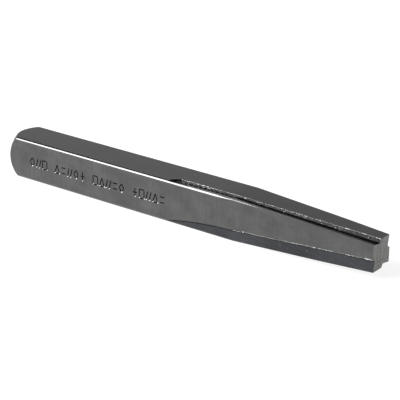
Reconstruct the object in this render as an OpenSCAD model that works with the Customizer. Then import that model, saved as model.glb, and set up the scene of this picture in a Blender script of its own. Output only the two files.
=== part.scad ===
// Square-taper screw extractor for a 5/16 in drilled hole.
// One bar of hardened tool steel: a square shank with a domed striking head, and a tapered end
// with a straight flute ground beside each corner, so that the corners bite when the tool is
// turned anticlockwise as seen from the head.
// X runs along the tool towards the tip. The tool lies on one flat of its shank at Z = 0, and
// the origin is on that plane, under the middle of the overall length.

/* [Shank] */
// Width across the flats of the square bar
shank_w = 7.94; // [6:0.01:14]
// Overall length, from the crown of the head to the tip
overall_l = 82; // [65:0.1:160]
// Leg of the small flat that breaks each long edge of the shank
edge_break = 0.3; // [0.1:0.05:0.8]

/* [Head] */
// Rise of the domed head, from the bar's corners to its crown
crown_h = 2.9; // [0.8:0.1:3.5]

/* [Taper] */
// Length of the tapered end
taper_l = 27.6; // [20:0.1:40]
// Width across the flats at the tip
tip_w = 5.42; // [4.8:0.02:7.2]

/* [Flutes] */
// Distance from a cutting corner to the root of its flute, along the face
root_in = 2.0; // [1.2:0.05:2.6]
// Fall of a flute's floor, from its cutting corner down to the root, in degrees
floor_fall = 10; // [4:1:20]
// Lean of a flute's wall, away from square to the face, in degrees
wall_lean = 32; // [15:1:45]
// Depth of the floor under the face at the cutting corner, reached at the tip
tip_relief = 0.31; // [0.05:0.01:0.6]
// Radius of the wheel whose rim leaves the long curved start of the front and back flutes
wheel_r = 87; // [40:1:150]
// Distance past the start of the taper at which that wheel's centre stops
wheel_lead = 1.9; // [0:0.1:6]
// Radius of the cutter whose rim leaves the blunt start of the top and bottom flutes
blunt_r = 2.4; // [2:0.1:4]
// Distance before the start of the taper at which that cutter's centre stops
blunt_run = 12.2; // [6:0.1:18]
// Extra depth and reach that the cutter leaves where it dwells, at a blunt start
dwell = 0.06; // [0.02:0.01:0.12]

/* [Hidden] */

$fn = 96;
sides = 4;
// Spare length by which each cutter passes the surface it cuts
spare = 1;
// Height of a flute cutter above its floor, and its reach outside the corner
cutter_h = 3;

half_l = overall_l / 2;
half_w = shank_w / 2;
half_tip = tip_w / 2;
taper_x = half_l - taper_l;
step_in = half_w - half_tip;

// The dome passes through the broken corners of the bar, crown_h below its crown
corner_r = norm([half_w, half_w - edge_break]);
dome_r = (corner_r * corner_r + crown_h * crown_h) / (2 * crown_h);

// Direction of a tapered flute: in towards the axis as the corner goes, and deeper by tip_relief
flute_yaw = atan2(step_in, taper_l);
flute_pitch = atan2(step_in + tip_relief, norm([taper_l, step_in]));
flute_l = norm([taper_l, step_in, step_in + tip_relief]);

// Outline of the bar seen square to one of its faces, with spare length for turning the dome
module side_outline() {
    head_x = -half_l - spare;
    polygon([
        [head_x, -half_w],
        [taper_x, -half_w],
        [half_l, -half_tip],
        [half_l, half_tip],
        [taper_x, half_w],
        [head_x, half_w],
    ]);
}

// Square bar with its four-sided taper and broken long edges, along X through the axis
module tapered_bar() {
    broken_w = (shank_w - edge_break) * sqrt(2);
    intersection() {
        linear_extrude(height = shank_w + 2 * spare, center = true) side_outline();
        rotate([90, 0, 0]) linear_extrude(height = shank_w + 2 * spare, center = true) side_outline();
        rotate([45, 0, 0]) cube([overall_l + 4 * spare, broken_w, broken_w], center = true);
    }
}

// What is turned away from the end of the bar to leave its dome
module head_turning() {
    difference() {
        translate([-half_l - 2 * spare, 0, 0]) rotate([0, 90, 0])
            cylinder(h = crown_h + 2.5 * spare, r = corner_r + spare);
        translate([dome_r - half_l, 0, 0]) sphere(r = dome_r);
    }
}

// Section of a flute cutter: the corner is at the origin, with the face's surface along +X
module flute_section() {
    root_z = -root_in * tan(floor_fall);
    polygon([
        [-cutter_h, cutter_h * tan(floor_fall)],
        [root_in, root_z],
        [root_in + cutter_h * tan(wall_lean), root_z + cutter_h],
        [-cutter_h, root_z + cutter_h],
    ]);
}

// Flute along the tapered corner
module taper_flute() {
    translate([taper_x, -half_w, half_w]) rotate([0, flute_pitch, flute_yaw])
        translate([-spare, 0, 0]) rotate([90, 0, 90])
            linear_extrude(height = flute_l + 2 * spare) flute_section();
}

// Start of a flute: the cutter's flat side lies in the corner and its rim leaves an arc. The
// cutter is turned so that its seam stays clear of the bar.
module rim_cut(centre_x, rim_r, extra) {
    rim_in = root_in / cos(floor_fall) + extra;
    rim_flare = cutter_h * tan(wall_lean - floor_fall);
    translate([centre_x, -half_w, half_w]) rotate([-floor_fall, 0, 0])
        translate([0, rim_in - rim_r, -extra]) rotate([0, 0, -90])
            cylinder(h = cutter_h, r1 = rim_r, r2 = rim_r + rim_flare);
}

// Start on the shank as a large wheel leaves it, growing slowly out of the corner
module long_start() {
    rim_cut(taper_x + wheel_lead, wheel_r, 0);
}

// Start on the shank as a small cutter leaves it: a round end, then the full flute
module blunt_start() {
    rim_cut(taper_x - blunt_run, blunt_r, dwell);
    translate([taper_x - blunt_run, -half_w, half_w]) rotate([90, 0, 90])
        linear_extrude(height = blunt_run) flute_section();
}

// The whole tool, ground from one bar
module extractor_body() {
    color([0.27, 0.28, 0.29]) translate([0, 0, half_w]) difference() {
        tapered_bar();
        head_turning();
        for (side = [0 : sides - 1]) {
            rotate([360 * side / sides, 0, 0]) {
                taper_flute();
                if (side % 2 == 0) blunt_start();
                else long_start();
            }
        }
    }
}

extractor_body();
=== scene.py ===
"""Looks of a square-taper screw extractor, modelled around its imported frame.

The tool is one ground bar of dark tool steel. It lies on a flat of its square shank, with X along
the tool towards the fluted tip. All lengths are in metres.
"""

import logging
import math
import random
from dataclasses import dataclass, field
from enum import Enum, IntEnum
from typing import Callable, ClassVar

import bmesh
import bpy
from mathutils import Matrix, Vector


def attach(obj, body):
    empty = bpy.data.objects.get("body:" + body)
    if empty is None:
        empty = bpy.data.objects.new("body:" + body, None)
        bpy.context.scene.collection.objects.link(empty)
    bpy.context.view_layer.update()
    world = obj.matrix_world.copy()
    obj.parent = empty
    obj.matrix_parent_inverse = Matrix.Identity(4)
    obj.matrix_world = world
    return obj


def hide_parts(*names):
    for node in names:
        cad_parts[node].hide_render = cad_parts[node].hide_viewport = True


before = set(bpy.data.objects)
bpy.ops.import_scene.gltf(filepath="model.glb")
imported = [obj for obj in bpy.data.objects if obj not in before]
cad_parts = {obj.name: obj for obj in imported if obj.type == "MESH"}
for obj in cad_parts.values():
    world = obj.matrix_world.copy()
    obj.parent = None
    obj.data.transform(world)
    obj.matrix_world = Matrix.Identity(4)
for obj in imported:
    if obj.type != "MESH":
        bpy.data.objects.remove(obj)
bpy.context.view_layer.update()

LOG = logging.getLogger("extractor")
MM = 0.001
SIDES = 4

Colour = tuple[float, float, float]
Scale = tuple[float, float, float]
Span = tuple[float, float]
Stroke = tuple[float, float, float, float]
Socket = bpy.types.NodeSocket
EdgeTest = Callable[[bmesh.types.BMEdge], bool]


class Zone(IntEnum):
    """Places on the steel that were finished in different ways, and the painted shade of the top and bottom
    flute floors, in the order of the material slots.
    """

    GROUND = 0
    FLOOR = 1
    WALL = 2
    DOME = 3
    SAWN = 4
    EDGE = 5
    # Painted shade: a darker finish for the top and bottom flute floors; the punched grooves take the same
    # dark finish.
    OXIDE = 6
    BURR = 7


class Mark(Enum):
    """Plain signs of the marking punches, as strokes across a box from -0.5 to 0.5."""

    SQUARE = (
        (-0.5, -0.5, 0.5, -0.5), (0.5, -0.5, 0.5, 0.5),
        (0.5, 0.5, -0.5, 0.5), (-0.5, 0.5, -0.5, -0.5))
    TRIANGLE = ((-0.5, -0.5, 0.5, -0.5), (0.5, -0.5, 0.0, 0.5), (0.0, 0.5, -0.5, -0.5))
    DIAMOND = (
        (0.0, -0.5, 0.5, 0.0), (0.5, 0.0, 0.0, 0.5),
        (0.0, 0.5, -0.5, 0.0), (-0.5, 0.0, 0.0, -0.5))
    BARS = ((-0.5, -0.32, 0.5, -0.32), (-0.5, 0.32, 0.5, 0.32))
    RAIN = ((-0.55, -0.5, -0.15, 0.5), (0.15, -0.5, 0.55, 0.5))
    CROSS = ((-0.5, 0.0, 0.5, 0.0), (0.0, -0.5, 0.0, 0.5))
    GAP = ()


# --------------------------------------------------------------------------------------------
# Finishes
# --------------------------------------------------------------------------------------------


class NodeSheet:
    """A material's nodes, added and joined by short calls."""

    def __init__(self, name: str) -> None:
        """Starts a metal material with one shader.

        Args:
            name: The material's name.
        """
        self.material = bpy.data.materials.new(name)
        self.material.use_nodes = True
        self.tree = self.material.node_tree
        self.shader = next(n for n in self.tree.nodes if n.type == "BSDF_PRINCIPLED")
        self.shader.inputs["Metallic"].default_value = 1.0
        self.place = self.tree.nodes.new("ShaderNodeTexCoord").outputs["Object"]

    def join(self, source: Socket, target: Socket) -> None:
        """Links an output socket to an input socket."""
        self.tree.links.new(source, target)

    def noise(self, scale: Scale, detail: float, rough: float = 0.55) -> Socket:
        """Adds noise that runs at its own scale along each axis.

        Args:
            scale: Cycles per metre along X, Y and Z.
            detail: Octaves of finer noise.
            rough: Strength of the finer octaves.

        Returns:
            The noise's value socket.
        """
        mapping = self.tree.nodes.new("ShaderNodeMapping")
        mapping.inputs["Scale"].default_value = scale
        texture = self.tree.nodes.new("ShaderNodeTexNoise")
        texture.inputs["Scale"].default_value = 1.0
        texture.inputs["Detail"].default_value = detail
        texture.inputs["Roughness"].default_value = rough
        self.join(self.place, mapping.inputs["Vector"])
        self.join(mapping.outputs["Vector"], texture.inputs["Vector"])
        return texture.outputs["Fac"]

    def spread(self, value: Socket, low: float, high: float, span: Span = (0.0, 1.0)) -> Socket:
        """Maps the stretch of a value from low to high onto a span, and holds the ends.

        Args:
            value: The socket to map.
            low: Value that maps to the span's start.
            high: Value that maps to the span's end.
            span: Start and end of the result.

        Returns:
            The mapped value socket.
        """
        node = self.tree.nodes.new("ShaderNodeMapRange")
        node.inputs["From Min"].default_value = low
        node.inputs["From Max"].default_value = high
        node.inputs["To Min"].default_value = span[0]
        node.inputs["To Max"].default_value = span[1]
        self.join(value, node.inputs["Value"])
        return node.outputs["Result"]

    def product(self, first: Socket, second: Socket) -> Socket:
        """Multiplies two values.

        Args:
            first: One socket.
            second: The other socket.

        Returns:
            The product's socket.
        """
        node = self.tree.nodes.new("ShaderNodeMath")
        node.operation = "MULTIPLY"
        self.join(first, node.inputs[0])
        self.join(second, node.inputs[1])
        return node.outputs[0]

    def tint(
        self, value: Socket, dark: Colour, light: Colour, under: Socket | None = None
    ) -> Socket:
        """Mixes two colours by a value.

        Args:
            value: The socket that picks between them.
            dark: Colour at zero, used when nothing lies under.
            light: Colour at one.
            under: A colour socket that stands in for the dark colour.

        Returns:
            The mixed colour socket.
        """
        node = self.tree.nodes.new("ShaderNodeMix")
        node.data_type = "RGBA"
        first, second = [s for s in node.inputs if s.type == "RGBA"]
        first.default_value = (*dark, 1.0)
        second.default_value = (*light, 1.0)
        if under is not None:
            self.join(under, first)
        self.join(value, node.inputs[0])
        return next(s for s in node.outputs if s.type == "RGBA")

    def bump(self, height: Socket, depth: float, under: Socket | None = None) -> Socket:
        """Turns a height into a surface normal.

        Args:
            height: The height socket, from zero to one.
            depth: Height of one, in metres.
            under: A coarser normal to add to.

        Returns:
            The normal's socket.
        """
        node = self.tree.nodes.new("ShaderNodeBump")
        node.inputs["Distance"].default_value = depth
        self.join(height, node.inputs["Height"])
        if under is not None:
            self.join(under, node.inputs["Normal"])
        return node.outputs["Normal"]


@dataclass(frozen=True)
class SteelFinish:
    """One way the steel's surface was left, as a procedural material."""

    CLOUD_STRETCH: ClassVar[Span] = (0.3, 0.7)
    CLOUD_SHADE: ClassVar[Span] = (0.35, 1.0)
    LINE_STRETCH: ClassVar[Span] = (0.25, 0.75)
    LINE_SHADE: ClassVar[Span] = (0.4, 1.0)
    SPECK_RIM: ClassVar[float] = 0.05

    name: str
    dark: Colour
    light: Colour
    roughness: Span
    grain: Scale
    grain_depth: float
    cloud: Scale = (90.0, 90.0, 90.0)
    speck: Scale = (2500.0, 2500.0, 2500.0)
    speck_from: float = 0.72
    speck_colour: Colour = (0.3, 0.3, 0.29)
    pit_depth: float = 0.0

    def make(self) -> bpy.types.Material:
        """Builds the material.

        Returns:
            The finished material.
        """
        sheet = NodeSheet(self.name)
        clouds = sheet.noise(self.cloud, detail=4.0)
        lines = sheet.noise(self.grain, detail=3.0, rough=0.6)
        specks = sheet.noise(self.speck, detail=2.0)
        shade = sheet.product(
            sheet.spread(clouds, *self.CLOUD_STRETCH, self.CLOUD_SHADE),
            sheet.spread(lines, *self.LINE_STRETCH, self.LINE_SHADE))
        plain = sheet.tint(shade, self.dark, self.light)
        bare = sheet.spread(specks, self.speck_from, self.speck_from + self.SPECK_RIM)
        sheet.join(sheet.tint(bare, self.dark, self.speck_colour, plain), sheet.shader.inputs["Base Color"])
        worn = sheet.spread(clouds, *self.CLOUD_STRETCH, self.roughness)
        sheet.join(worn, sheet.shader.inputs["Roughness"])
        coarse = sheet.bump(specks, self.pit_depth)
        sheet.join(sheet.bump(lines, self.grain_depth, coarse), sheet.shader.inputs["Normal"])
        return sheet.material


FINISHES: dict[Zone, SteelFinish] = {
    Zone.GROUND: SteelFinish(
        "ground_dark_steel", (0.076, 0.078, 0.077), (0.153, 0.154, 0.152), (0.4, 0.48),
        (7000.0, 350.0, 350.0), 0.003 * MM, cloud=(260.0, 420.0, 420.0),
        speck=(1400.0, 900.0, 900.0), speck_from=0.74),
    Zone.FLOOR: SteelFinish(
        "flute_floor_steel", (0.034, 0.035, 0.038), (0.082, 0.085, 0.091), (0.28, 0.38),
        (900.0, 5000.0, 5000.0), 0.004 * MM, speck=(2600.0, 3600.0, 3600.0),
        speck_from=0.73, pit_depth=0.008 * MM),
    Zone.WALL: SteelFinish(
        "flute_wall_scale", (0.005, 0.005, 0.006), (0.034, 0.035, 0.037), (0.3, 0.5),
        (4200.0, 4200.0, 4200.0), 0.03 * MM, speck=(3000.0, 4400.0, 4400.0), speck_from=0.63,
        speck_colour=(0.26, 0.26, 0.26), pit_depth=0.05 * MM),
    Zone.DOME: SteelFinish(
        "turned_dome_steel", (0.08, 0.08, 0.08), (0.14, 0.14, 0.14), (0.4, 0.5),
        (800.0, 3000.0, 3000.0), 0.004 * MM),
    Zone.SAWN: SteelFinish(
        "sawn_end_steel", (0.05, 0.05, 0.048), (0.29, 0.287, 0.277), (0.42, 0.55),
        (800.0, 3500.0, 1200.0), 0.03 * MM, cloud=(900.0, 900.0, 900.0), speck=(2600.0, 2600.0, 2600.0),
        speck_from=0.64, pit_depth=0.04 * MM),
    Zone.EDGE: SteelFinish(
        "worn_edge_steel", (0.11, 0.11, 0.11), (0.15, 0.15, 0.15), (0.13, 0.17),
        (600.0, 2500.0, 2500.0), 0.001 * MM),
    # Painted shade on the top and bottom flute floors, darker than the floor finish; the grooves of the
    # marks take the same dark colour.
    Zone.OXIDE: SteelFinish(
        "painted_shade_and_groove_steel", (0.012, 0.012, 0.012), (0.05, 0.05, 0.05), (0.2, 0.3),
        (3000.0, 3000.0, 3000.0), 0.004 * MM),
    Zone.BURR: SteelFinish(
        "bare_burr_steel", (0.25, 0.25, 0.25), (0.6, 0.6, 0.59), (0.25, 0.4),
        (3000.0, 3000.0, 3000.0), 0.004 * MM, speck_colour=(0.7, 0.7, 0.69)),
}


# --------------------------------------------------------------------------------------------
# Modelling moves
# --------------------------------------------------------------------------------------------


class Bench:
    """The modelling moves that the tool's pieces share."""

    def __init__(self, materials: list[bpy.types.Material]) -> None:
        """Keeps the finishes that every workpiece and cutter carries.

        Args:
            materials: One material for each zone, in zone order.
        """
        self.materials = materials

    @staticmethod
    def pick(piece: bpy.types.Object) -> None:
        """Makes one piece the only selected and active one.

        Args:
            piece: The piece.
        """
        bpy.ops.object.select_all(action="DESELECT")
        piece.select_set(True)
        bpy.context.view_layer.objects.active = piece

    def adopt(self, name: str, zone: Zone) -> bpy.types.Object:
        """Names the new active piece, fixes its place in its mesh and gives it the finishes.

        Args:
            name: The piece's name.
            zone: The zone that all its faces belong to.

        Returns:
            The piece.
        """
        piece = bpy.context.view_layer.objects.active
        piece.name = name
        piece.data.name = name
        piece.data.materials.clear()
        for material in self.materials:
            piece.data.materials.append(material)
        for face in piece.data.polygons:
            face.material_index = zone
        self.settle(piece)
        return piece

    def settle(self, piece: bpy.types.Object) -> None:
        """Moves a piece's place, turn and size into its mesh."""
        self.pick(piece)
        bpy.ops.object.transform_apply(location=True, rotation=True, scale=True)

    def edit(self, piece: bpy.types.Object, mode: str = "EDGE") -> bmesh.types.BMesh:
        """Opens a piece for editing with nothing selected.

        Args:
            piece: The piece.
            mode: VERT, EDGE or FACE selection.

        Returns:
            The open mesh.
        """
        self.pick(piece)
        bpy.ops.object.mode_set(mode="EDIT")
        bpy.ops.mesh.select_mode(type=mode)
        bpy.ops.mesh.select_all(action="DESELECT")
        return bmesh.from_edit_mesh(piece.data)

    @staticmethod
    def close() -> None:
        """Leaves edit mode."""
        bpy.ops.object.mode_set(mode="OBJECT")

    def select_edges(self, piece: bpy.types.Object, wanted: EdgeTest) -> int:
        """Opens a piece and selects the edges that a test accepts.

        Args:
            piece: The piece.
            wanted: A test that takes an edge.

        Returns:
            How many edges were selected.
        """
        mesh = self.edit(piece, "EDGE")
        chosen = [edge for edge in mesh.edges if wanted(edge)]
        for edge in chosen:
            edge.select_set(True)
        bmesh.update_edit_mesh(piece.data)
        return len(chosen)

    def cut(
        self, piece: bpy.types.Object, cutter: bpy.types.Object, operation: str = "DIFFERENCE",
        crossed: bool = False
    ) -> None:
        """Cuts a piece with a cutter and throws the cutter away.

        Args:
            piece: The workpiece.
            cutter: The cutter.
            operation: Boolean operation.
            crossed: Whether parts of the cutter cross one another.
        """
        self.pick(piece)
        modifier = piece.modifiers.new("cut", "BOOLEAN")
        modifier.operation = operation
        modifier.solver = "EXACT"
        modifier.material_mode = "INDEX"
        modifier.use_self = crossed
        modifier.object = cutter
        bpy.ops.object.modifier_apply(modifier=modifier.name)
        bpy.data.objects.remove(cutter)

    @staticmethod
    def join(pieces: list[bpy.types.Object]) -> bpy.types.Object:
        """Joins pieces into the first one.

        Args:
            pieces: The pieces, the one to keep first.

        Returns:
            The joined piece.
        """
        bpy.ops.object.select_all(action="DESELECT")
        for piece in pieces:
            piece.select_set(True)
        bpy.context.view_layer.objects.active = pieces[0]
        bpy.ops.object.join()
        return pieces[0]

    @staticmethod
    def between(first: Zone, second: Zone) -> EdgeTest:
        """Makes the test for an edge that parts two zones.

        Args:
            first: One zone.
            second: The other zone.

        Returns:
            The test.
        """
        pair = {int(first), int(second)}
        return lambda e: len(e.link_faces) == 2 and {f.material_index for f in e.link_faces} == pair


# --------------------------------------------------------------------------------------------
# The tool
# --------------------------------------------------------------------------------------------


@dataclass
class MarkLine:
    """The line of plain punched signs along the front flat, cut as grooves."""

    bench: Bench
    face_y: float
    start_x: float = -33.6 * MM
    pitch: float = 1.57 * MM
    height: float = 1.7 * MM
    width: float = 1.1 * MM
    groove_w: float = 0.42 * MM
    groove_d: float = 0.15 * MM
    groove_run_out: float = 0.6
    groove_slope: float = 4.4
    groove_keel: float = 0.12
    foot_w: float = 0.26 * MM
    foot_h: float = 0.32 * MM
    foot_lean: float = math.radians(38.0)
    foot_below: float = -0.4
    row: tuple[Mark, ...] = (
        Mark.DIAMOND, Mark.RAIN, Mark.SQUARE, Mark.GAP,
        Mark.TRIANGLE, Mark.BARS, Mark.RAIN, Mark.DIAMOND, Mark.CROSS, Mark.GAP,
        Mark.SQUARE, Mark.TRIANGLE, Mark.RAIN, Mark.BARS, Mark.DIAMOND, Mark.GAP,
        Mark.CROSS, Mark.SQUARE, Mark.RAIN, Mark.TRIANGLE, Mark.BARS,
    )

    def groove(self, ends: Stroke, middle_x: float) -> bpy.types.Object:
        """Makes the V-shaped cutter of one straight stroke.

        Args:
            ends: The stroke across the sign's box.
            middle_x: Place of the sign's middle along the tool.

        Returns:
            The cutter.
        """
        run = (ends[2] - ends[0]) * self.width
        rise = (ends[3] - ends[1]) * self.height
        length = math.hypot(run, rise) + self.groove_run_out * self.groove_w
        bpy.ops.mesh.primitive_cube_add(size=1.0, scale=(length, 2.0 * self.groove_d, self.groove_w))
        # The grooves take the darkest finish, the one that also paints shade on the top and bottom flute
        # floors.
        cutter = self.bench.adopt("groove", Zone.OXIDE)
        mesh = self.bench.edit(cutter, "VERT")
        for vertex in mesh.verts:
            vertex.select_set(vertex.co.y > 0.0)
        bmesh.update_edit_mesh(cutter.data)
        squeeze = (length - self.groove_slope * self.groove_d) / length
        bpy.ops.transform.resize(
            value=(squeeze, 1.0, self.groove_keel), center_override=(0.0, 0.0, 0.0))
        self.bench.close()
        cutter.rotation_euler = (0.0, -math.atan2(rise, run), 0.0)
        cutter.location = (
            middle_x + 0.5 * (ends[0] + ends[2]) * self.width,
            self.face_y,
            0.5 * (ends[1] + ends[3]) * self.height)
        self.bench.settle(cutter)
        return cutter

    def foot(self, across: float, up: float, middle_x: float) -> bpy.types.Object:
        """Makes the cutter of the shiny slope at the low end of a stroke.

        Args:
            across: Place of the end across the sign's box.
            up: Place of the end up the sign's box.
            middle_x: Place of the sign's middle along the tool.

        Returns:
            The cutter.
        """
        out = 0.5 * self.foot_h * math.cos(self.foot_lean)
        rise = 0.5 * self.foot_h * math.sin(self.foot_lean)
        bpy.ops.mesh.primitive_cube_add(
            size=1.0,
            scale=(self.foot_w, self.foot_h, self.foot_h),
            rotation=(math.pi / 2 - self.foot_lean, 0.0, 0.0),
            location=(
                middle_x + across * self.width,
                self.face_y + 0.5 * rise - out,
                up * self.height + rise))
        return self.bench.adopt("foot", Zone.EDGE)

    def punch(self, piece: bpy.types.Object) -> None:
        """Cuts the slopes at the low ends of all the signs' strokes, then the strokes.

        Args:
            piece: The workpiece.
        """
        grooves, feet = [], []
        for place, mark in enumerate(self.row):
            middle_x = self.start_x + place * self.pitch
            grooves += [self.groove(ends, middle_x) for ends in mark.value]
            points = sorted({point for ends in mark.value for point in (ends[:2], ends[2:])})
            feet += [self.foot(*point, middle_x) for point in points if point[1] < self.foot_below]
        self.bench.cut(piece, self.bench.join(feet))
        self.bench.cut(piece, self.bench.join(grooves), crossed=True)


@dataclass
class BurrLine:
    """The ragged burr that the wheel leaves along a rim, as beads of uneven size."""

    bench: Bench
    seed: int
    radius: float
    bare: float
    step: float = 0.16 * MM
    weld: float = 0.02 * MM
    first_size: float = 0.2
    change: float = 0.55
    thin: Span = (0.15, 0.2)
    thick: Span = (0.6, 0.9)

    def build(self, bar: bpy.types.Object, wanted: EdgeTest) -> bpy.types.Object | None:
        """Runs a beaded wire along the chosen edges of the bar.

        Args:
            bar: The bar.
            wanted: A test that takes an edge.

        Returns:
            The burr, or None where the bar has no such edge.
        """
        if not self.bench.select_edges(bar, wanted):
            self.bench.close()
            return None
        bpy.ops.mesh.duplicate()
        bpy.ops.mesh.separate(type="SELECTED")
        self.bench.close()
        burr = next(o for o in bpy.context.selected_objects if o is not bar)
        burr.name = "burr"
        self.bench.pick(burr)
        bpy.ops.object.mode_set(mode="EDIT")
        bpy.ops.mesh.select_all(action="SELECT")
        bpy.ops.mesh.delete(type="ONLY_FACE")
        bpy.ops.mesh.select_all(action="SELECT")
        bpy.ops.mesh.remove_doubles(threshold=self.weld)
        self.even_out(burr)
        self.bench.close()
        bpy.ops.object.convert(target="CURVE")
        dice = random.Random(self.seed)
        for spline in burr.data.splines:
            self.bead(spline, dice)
        burr.data.bevel_depth = self.radius
        burr.data.bevel_resolution = 1
        burr.data.use_fill_caps = True
        bpy.ops.object.convert(target="MESH")
        return self.bench.adopt("burr", Zone.BURR)

    def even_out(self, burr: bpy.types.Object) -> None:
        """Splits the rim's long edges into short steps.

        Args:
            burr: The rim, open for editing.
        """
        mesh = bmesh.from_edit_mesh(burr.data)
        for edge in list(mesh.edges):
            parts = int(edge.calc_length() / self.step)
            if parts > 1:
                bmesh.ops.subdivide_edges(mesh, edges=[edge], cuts=parts - 1)
        bmesh.update_edit_mesh(burr.data)

    def bead(self, spline: bpy.types.Spline, dice: random.Random) -> None:
        """Gives each point of a rim its own thickness, thin in runs and thick in beads.

        Args:
            spline: The rim.
            dice: Seeded dice.
        """
        size = self.first_size
        for point in spline.points:
            if dice.random() < self.change:
                if dice.random() < self.bare:
                    size = self.thin[0] + self.thin[1] * dice.random()
                else:
                    size = self.thick[0] + self.thick[1] * dice.random() ** 2
            point.radius = size


ROUNDINGS: tuple[tuple[Zone, Zone, float, Zone], ...] = (
    (Zone.WALL, Zone.GROUND, 0.03 * MM, Zone.GROUND),
    (Zone.FLOOR, Zone.GROUND, 0.03 * MM, Zone.GROUND),
    (Zone.SAWN, Zone.GROUND, 0.04 * MM, Zone.SAWN),
    (Zone.DOME, Zone.GROUND, 0.06 * MM, Zone.DOME),
)


@dataclass
class ExtractorBody:
    """The ground steel bar: shank, dome, taper and flutes, built with its axis on X."""

    bench: Bench
    overall_l: float = 82.0 * MM
    shank_w: float = 7.94 * MM
    edge_r: float = 0.52 * MM
    edge_fade: float = 0.28
    edge_fade_l: float = 4.0 * MM
    crown_h: float = 2.9 * MM
    crown_off: float = 0.34 * MM
    edge_break: float = 0.3 * MM
    taper_l: float = 27.6 * MM
    tip_w: float = 5.42 * MM
    root_in: float = 2.0 * MM
    root_r: float = 0.25 * MM
    floor_fall: float = math.radians(10.0)
    wall_lean: float = math.radians(32.0)
    tip_relief: float = 0.31 * MM
    wheel_r: float = 87.0 * MM
    wheel_lead: float = 1.9 * MM
    blunt_r: float = 2.4 * MM
    blunt_run: float = 12.2 * MM
    dwell: float = 0.06 * MM
    cutter_h: float = 3.0 * MM
    spare: float = 1.0 * MM
    fade_reach: float = 1.1
    wheel_corners: int = 900
    blunt_corners: int = 96
    floor_facing: float = -0.93
    tip_facing: float = 0.9
    hair: float = 0.01 * MM
    weld: float = 0.003 * MM
    flat_clear: float = 0.1 * MM
    low_burr_l: float = 2.2 * MM
    smooth_angle: float = math.radians(28.0)
    half_l: float = field(init=False)
    half_w: float = field(init=False)
    taper_x: float = field(init=False)

    def __post_init__(self) -> None:
        """Works out the derived sizes."""
        self.half_l = 0.5 * self.overall_l
        self.half_w = 0.5 * self.shank_w
        self.taper_x = self.half_l - self.taper_l

    def bar(self) -> bpy.types.Object:
        """Makes the square bar with its taper and rounded long edges.

        Returns:
            The bar.
        """
        bpy.ops.mesh.primitive_cube_add(
            size=1.0,
            scale=(self.overall_l + self.spare, self.shank_w, self.shank_w),
            location=(-0.5 * self.spare, 0.0, 0.0))
        bar = self.bench.adopt("extractor_steel", Zone.GROUND)
        self.bench.edit(bar, "VERT")
        bpy.ops.mesh.select_all(action="SELECT")
        bpy.ops.mesh.bisect(plane_co=(self.taper_x, 0.0, 0.0), plane_no=(1.0, 0.0, 0.0))
        bpy.ops.mesh.select_all(action="DESELECT")
        mesh = bmesh.from_edit_mesh(bar.data)
        for vertex in mesh.verts:
            vertex.select_set(vertex.co.x > self.half_l - self.spare)
        bmesh.update_edit_mesh(bar.data)
        narrow = self.tip_w / self.shank_w
        bpy.ops.transform.resize(value=(1.0, narrow, narrow), center_override=(self.half_l, 0.0, 0.0))
        self.bench.close()
        self.bench.select_edges(bar, lambda e: abs(e.verts[0].co.x - e.verts[1].co.x) > self.spare)
        bpy.ops.mesh.bevel(offset=self.edge_r, segments=6, affect="EDGES", material=Zone.EDGE)
        bpy.ops.mesh.select_all(action="SELECT")
        bpy.ops.mesh.bisect(
            plane_co=(self.taper_x - self.edge_fade_l, 0.0, 0.0), plane_no=(1.0, 0.0, 0.0))
        self.fade_edges(bar, self.taper_x, ((-1, 1), (1, -1)))
        self.fade_edges(bar, self.half_l, ((-1, -1), (-1, 1), (1, -1), (1, 1)))
        self.bench.close()
        return bar

    def fade_edges(
        self, bar: bpy.types.Object, place: float, corners: tuple[tuple[int, int], ...]
    ) -> None:
        """Makes the rounding of the long edges smaller at one place along the taper.

        Args:
            bar: The bar, open for editing.
            place: The place along the tool.
            corners: The corners whose rounding shrinks, as signs of Y and Z.
        """
        share = (self.half_l - place) / self.taper_l
        corner = self.half_w * share + 0.5 * self.tip_w * (1.0 - share)
        for side_y, side_z in corners:
            mesh = bmesh.from_edit_mesh(bar.data)
            spot = Vector((place, side_y * corner, side_z * corner))
            for vertex in mesh.verts:
                vertex.select_set((vertex.co - spot).length < self.fade_reach * self.edge_r)
            bmesh.update_edit_mesh(bar.data)
            bpy.ops.transform.resize(
                value=(1.0, self.edge_fade, self.edge_fade), center_override=spot)

    def bullet(self) -> bpy.types.Object:
        """Makes the turned blank whose round end leaves the dome.

        Returns:
            The blank, for an intersection with the bar.
        """
        corner_r = math.hypot(self.half_w, self.half_w - self.edge_break)
        dome_r = (corner_r ** 2 + self.crown_h ** 2) / (2.0 * self.crown_h)
        bpy.ops.mesh.primitive_uv_sphere_add(
            segments=128, ring_count=96, radius=dome_r, rotation=(0.0, math.pi / 2, 0.0))
        blank = self.bench.adopt("dome_blank", Zone.DOME)
        self.bench.edit(blank, "EDGE")
        bpy.ops.mesh.select_all(action="SELECT")
        bpy.ops.mesh.bisect(plane_co=(0.0, 0.0, 0.0), plane_no=(1.0, 0.0, 0.0), clear_outer=True)
        bpy.ops.mesh.extrude_region_move(
            TRANSFORM_OT_translate={"value": (self.overall_l + self.spare, 0.0, 0.0)})
        bpy.ops.mesh.edge_face_add()
        self.bench.close()
        blank.location = (dome_r - self.half_l, self.crown_off, 0.0)
        self.bench.settle(blank)
        return blank

    def round_root(self, cutter: bpy.types.Object, wanted: EdgeTest) -> None:
        """Rounds the edge of a flute cutter that leaves the root, and tells floor from wall.

        Args:
            cutter: The cutter, with its floor square to Z or nearly so.
            wanted: A test for the edge.
        """
        self.bench.select_edges(cutter, wanted)
        bpy.ops.mesh.bevel(offset=self.root_r, segments=4, affect="EDGES")
        self.bench.close()
        for face in cutter.data.polygons:
            face.material_index = Zone.FLOOR if face.normal.z < self.floor_facing else Zone.WALL

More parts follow.
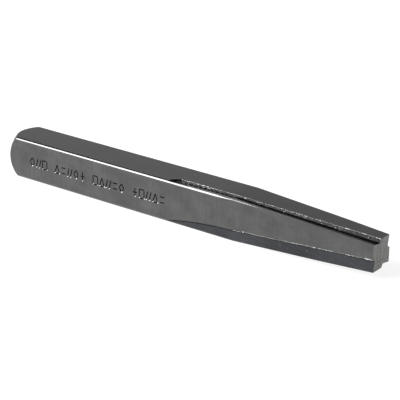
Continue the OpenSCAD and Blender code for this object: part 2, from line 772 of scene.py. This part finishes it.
    def prism(self, start: float, length: float) -> bpy.types.Object:
        """Makes the straight cutter of a flute, with the cutting corner along X.

        Args:
            start: Its start along X.
            length: Its length.

        Returns:
            The cutter.
        """
        fall, lean = math.tan(self.floor_fall), math.tan(self.wall_lean)
        root_z = -self.root_in * fall
        top_z = root_z + self.cutter_h
        outline = (
            (-self.cutter_h, self.cutter_h * fall), (self.root_in, root_z),
            (self.root_in + self.cutter_h * lean, top_z), (-self.cutter_h, top_z))
        bpy.ops.mesh.primitive_plane_add(size=1.0)
        cutter = self.bench.adopt("prism", Zone.WALL)
        for index, (y, z) in zip((0, 1, 3, 2), outline):
            cutter.data.vertices[index].co = (start, y, z)
        self.bench.edit(cutter, "FACE")
        bpy.ops.mesh.select_all(action="SELECT")
        bpy.ops.mesh.extrude_region_move(TRANSFORM_OT_translate={"value": (length, 0.0, 0.0)})
        bpy.ops.mesh.select_all(action="SELECT")
        bpy.ops.mesh.normals_make_consistent(inside=False)
        self.bench.close()
        self.round_root(cutter, lambda e: all(abs(v.co.y - self.root_in) < self.hair for v in e.verts))
        return cutter

    def taper_cutter(self) -> bpy.types.Object:
        """Makes the cutter of the flute along the tapered corner at the front top edge.

        Returns:
            The cutter.
        """
        step_in = 0.5 * (self.shank_w - self.tip_w)
        drop = step_in + self.tip_relief
        length = math.sqrt(self.taper_l ** 2 + step_in ** 2 + drop ** 2)
        cutter = self.prism(-self.spare, length + 2.0 * self.spare)
        cutter.rotation_euler = (
            0.0, math.atan2(drop, math.hypot(self.taper_l, step_in)), math.atan2(step_in, self.taper_l))
        cutter.location = (self.taper_x, -self.half_w, self.half_w)
        self.bench.settle(cutter)
        return cutter

    def straight_cutter(self) -> bpy.types.Object:
        """Makes the cutter of a blunt flute's straight stretch on the shank.

        Returns:
            The cutter.
        """
        cutter = self.prism(self.taper_x - self.blunt_run, self.blunt_run)
        cutter.location = (0.0, -self.half_w, self.half_w)
        self.bench.settle(cutter)
        return cutter

    def rim_cutter(self, centre_x: float, rim_r: float, extra: float, corners: int) -> bpy.types.Object:
        """Makes the round cutter whose rim leaves the start of a flute at the front top edge.

        Args:
            centre_x: Place of its centre along the tool.
            rim_r: Radius of its rim.
            extra: How far it passes the root and the floor.
            corners: Number of corners that stand for its circle.

        Returns:
            The cutter.
        """
        flare = self.cutter_h * math.tan(self.wall_lean - self.floor_fall)
        rim_in = self.root_in / math.cos(self.floor_fall) + extra
        bpy.ops.mesh.primitive_cone_add(
            vertices=corners, radius1=rim_r, radius2=rim_r + flare, depth=self.cutter_h,
            location=(0.0, rim_in - rim_r, 0.5 * self.cutter_h - extra))
        cutter = self.bench.adopt("rim_cutter", Zone.WALL)
        self.round_root(cutter, lambda e: all(v.co.z < self.hair for v in e.verts))
        cutter.rotation_euler = (-self.floor_fall, 0.0, 0.0)
        cutter.location = (centre_x, -self.half_w, self.half_w)
        self.bench.settle(cutter)
        return cutter

    def grind_flutes(self, bar: bpy.types.Object) -> None:
        """Cuts the flute beside each corner.

        Args:
            bar: The bar.
        """
        for side in range(SIDES):
            if side % 2:
                wheel_x = self.taper_x + self.wheel_lead
                starts = [self.rim_cutter(wheel_x, self.wheel_r, 0.0, self.wheel_corners)]
            else:
                blunt_x = self.taper_x - self.blunt_run
                starts = [
                    self.rim_cutter(blunt_x, self.blunt_r, self.dwell, self.blunt_corners),
                    self.straight_cutter(),
                ]
            for cutter in (*starts, self.taper_cutter()):
                cutter.rotation_euler = (2.0 * math.pi * side / SIDES, 0.0, 0.0)
                self.bench.settle(cutter)
                self.bench.cut(bar, cutter)

    def burrs(self, bar: bpy.types.Object) -> list[bpy.types.Object]:
        """Raises the burrs along the flutes.

        Args:
            bar: The bar.

        Returns:
            The burrs.
        """
        lines = (
            (BurrLine(self.bench, seed=11, radius=0.042 * MM, bare=0.8), self.rims()),
            (BurrLine(self.bench, seed=31, radius=0.04 * MM, bare=0.75), self.low_root()),
        )
        made = [line.build(bar, wanted) for line, wanted in lines]
        return [burr for burr in made if burr is not None]

    def rims(self) -> EdgeTest:
        """Makes the test for the walls' rims, past the smooth long starts and clear of the resting flat.

        Returns:
            The test.
        """
        parted = Bench.between(Zone.WALL, Zone.GROUND)
        lowest = self.flat_clear - self.half_w
        return lambda e: parted(e) and all(
            v.co.z > abs(v.co.y) or (v.co.x > self.taper_x and v.co.z > lowest) for v in e.verts)

    def low_root(self) -> EdgeTest:
        """Makes the test for the top and bottom flutes' root edges, up to just past the taper's start.

        Returns:
            The test.
        """
        parted = Bench.between(Zone.WALL, Zone.FLOOR)
        reach = self.taper_x + self.low_burr_l
        return lambda e: parted(e) and all(
            v.co.x < reach and abs(v.co.z) > abs(v.co.y) for v in e.verts)

    def soften(
        self, bar: bpy.types.Object, first: Zone, second: Zone, width: float, finish: Zone
    ) -> None:
        """Rounds the edges between two zones.

        Args:
            bar: The bar.
            first: One zone.
            second: The other zone.
            width: Width of the rounding.
            finish: Zone of the new faces.
        """
        count = self.bench.select_edges(bar, Bench.between(first, second))
        if count:
            bpy.ops.mesh.bevel(
                offset=width, segments=2, affect="EDGES", material=finish, clamp_overlap=True)
        self.bench.close()
        LOG.info("rounded %d edges between %s and %s", count, first.name, second.name)

    def mark_tip(self, bar: bpy.types.Object) -> None:
        """Gives the flat end of the tip its own finish.

        Args:
            bar: The bar.
        """
        for face in bar.data.polygons:
            if face.normal.x > self.tip_facing and face.center.x > self.half_l - self.spare:
                face.material_index = Zone.SAWN

    def paint_floor_shade(self, bar: bpy.types.Object) -> None:
        """Paints shade on the floors of the top and bottom flutes, as a darker copy of the floor finish
        than the front and back floors get.

        Args:
            bar: The bar.
        """
        for face in bar.data.polygons:
            # Painted shade: only the floors that face up or down turn darker.
            if face.material_index == Zone.FLOOR and abs(face.normal.z) > abs(face.normal.y):
                face.material_index = Zone.OXIDE

    def build(self) -> bpy.types.Object:
        """Models the whole tool and lays it on its flat.

        Returns:
            The finished piece.
        """
        bar = self.bar()
        self.mark_tip(bar)
        self.bench.cut(bar, self.bullet(), "INTERSECT")
        self.grind_flutes(bar)
        burrs = self.burrs(bar)
        # Painted shade on the top and bottom flute floors.
        self.paint_floor_shade(bar)
        MarkLine(self.bench, -self.half_w).punch(bar)
        self.bench.edit(bar, "VERT")
        bpy.ops.mesh.select_all(action="SELECT")
        bpy.ops.mesh.remove_doubles(threshold=self.weld)
        self.bench.close()
        for first, second, width, finish in ROUNDINGS:
            self.soften(bar, first, second, width, finish)
        self.bench.join([bar, *burrs])
        bar.location = (0.0, 0.0, self.half_w)
        self.bench.settle(bar)
        bpy.ops.object.shade_smooth_by_angle(angle=self.smooth_angle)
        weighted = bar.modifiers.new("weighted", "WEIGHTED_NORMAL")
        weighted.keep_sharp = True
        weighted.weight = 80
        bpy.ops.object.modifier_apply(modifier=weighted.name)
        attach(bar, "root")
        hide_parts("extractor_body")
        return bar


# --------------------------------------------------------------------------------------------
# Studio
# --------------------------------------------------------------------------------------------


@dataclass
class Studio:
    """Plain pale floor, soft light and the camera."""

    aim: tuple[float, float, float] = (3.36 * MM, 0.0, 4.13 * MM)
    azimuth: float = math.radians(36.16)
    elevation: float = math.radians(21.93)
    roll: float = math.radians(0.92)
    distance: float = 277.8 * MM
    lens: float = 138.8
    sensor_w: float = 36.0
    near: float = 0.01
    floor_r: float = 3.0
    floor_grey: float = 0.27
    floor_glow: float = 0.86
    sky_stops: tuple[Span, ...] = (
        (0.0, 0.9), (0.37, 1.05), (0.43, 0.5), (0.5, 0.06), (1.0, 0.05))
    key_place: tuple[float, float, float] = (-0.33, -0.315, 0.385)
    key_width: float = 0.42
    key_height: float = 0.43
    key_radiance: float = 10.0

    def camera(self) -> bpy.types.Object:
        """Sets up the camera.

        Returns:
            The camera.
        """
        back = Vector((
            math.sin(self.azimuth) * math.cos(self.elevation),
            -math.cos(self.azimuth) * math.cos(self.elevation),
            math.sin(self.elevation)))
        right = Vector((0.0, 0.0, 1.0)).cross(back).normalized()
        up = back.cross(right)
        turned_right = right * math.cos(self.roll) + up * math.sin(self.roll)
        turned_up = up * math.cos(self.roll) - right * math.sin(self.roll)
        data = bpy.data.cameras.new("camera")
        data.lens = self.lens
        data.sensor_width = self.sensor_w
        data.clip_start = self.near
        camera = bpy.data.objects.new("camera", data)
        bpy.context.scene.collection.objects.link(camera)
        turn = Matrix((turned_right, turned_up, back)).transposed()
        camera.matrix_world = Matrix.Translation(Vector(self.aim) + back * self.distance) @ turn.to_4x4()
        bpy.context.scene.camera = camera
        return camera

    def floor(self) -> bpy.types.Object:
        """Lays the pale floor, which glows faintly like a light table.

        Returns:
            The floor.
        """
        bpy.ops.mesh.primitive_circle_add(vertices=96, radius=self.floor_r, fill_type="NGON")
        floor = bpy.context.view_layer.objects.active
        floor.name = "pale_floor"
        material = bpy.data.materials.new("pale_floor")
        material.use_nodes = True
        shader = next(n for n in material.node_tree.nodes if n.type == "BSDF_PRINCIPLED")
        grey = self.floor_grey
        shader.inputs["Base Color"].default_value = (grey, grey, grey, 1.0)
        shader.inputs["Roughness"].default_value = 0.9
        shader.inputs["Specular IOR Level"].default_value = 0.0
        shader.inputs["Emission Color"].default_value = (1.0, 1.0, 1.0, 1.0)
        shader.inputs["Emission Strength"].default_value = self.floor_glow
        floor.data.materials.append(material)
        return floor

    def sky(self) -> None:
        """Sets the room's soft light: pale walls under a dark ceiling."""
        world = bpy.data.worlds.new("soft_room")
        bpy.context.scene.world = world
        world.use_nodes = True
        tree = world.node_tree
        background = next(n for n in tree.nodes if n.type == "BACKGROUND")
        place = tree.nodes.new("ShaderNodeTexCoord")
        split = tree.nodes.new("ShaderNodeSeparateXYZ")
        ramp = tree.nodes.new("ShaderNodeValToRGB")
        elements = ramp.color_ramp.elements
        while len(elements) < len(self.sky_stops):
            elements.new(0.5)
        for element, (position, grey) in zip(elements, self.sky_stops):
            element.position = position
            element.color = (grey, grey, grey, 1.0)
        tree.links.new(place.outputs["Generated"], split.inputs["Vector"])
        tree.links.new(split.outputs["Z"], ramp.inputs["Fac"])
        tree.links.new(ramp.outputs["Color"], background.inputs["Color"])

    def softbox(self) -> bpy.types.Object:
        """Hangs the soft key light that faces the tool.

        Returns:
            The light.
        """
        data = bpy.data.lights.new("key_softbox", "AREA")
        data.shape = "RECTANGLE"
        data.size = self.key_width
        data.size_y = self.key_height
        data.energy = self.key_radiance * math.pi * self.key_width * self.key_height
        light = bpy.data.objects.new("key_softbox", data)
        bpy.context.scene.collection.objects.link(light)
        light.location = self.key_place
        towards = Vector(self.aim) - Vector(self.key_place)
        light.rotation_euler = towards.to_track_quat("-Z", "Y").to_euler()
        return light

    def build(self) -> None:
        """Sets up the whole studio."""
        self.camera()
        self.floor()
        self.sky()
        self.softbox()
        bpy.context.scene.view_settings.view_transform = "Standard"


def main() -> None:
    """Builds the tool and its studio, and reports the piece."""
    logging.basicConfig(level=logging.INFO, format="%(message)s")
    Studio().build()
    materials = [FINISHES[zone].make() for zone in Zone]
    body = ExtractorBody(Bench(materials)).build()
    LOG.info("%s: %d vertices, %d faces", body.name, len(body.data.vertices), len(body.data.polygons))


if __name__ == "__main__":
    main()
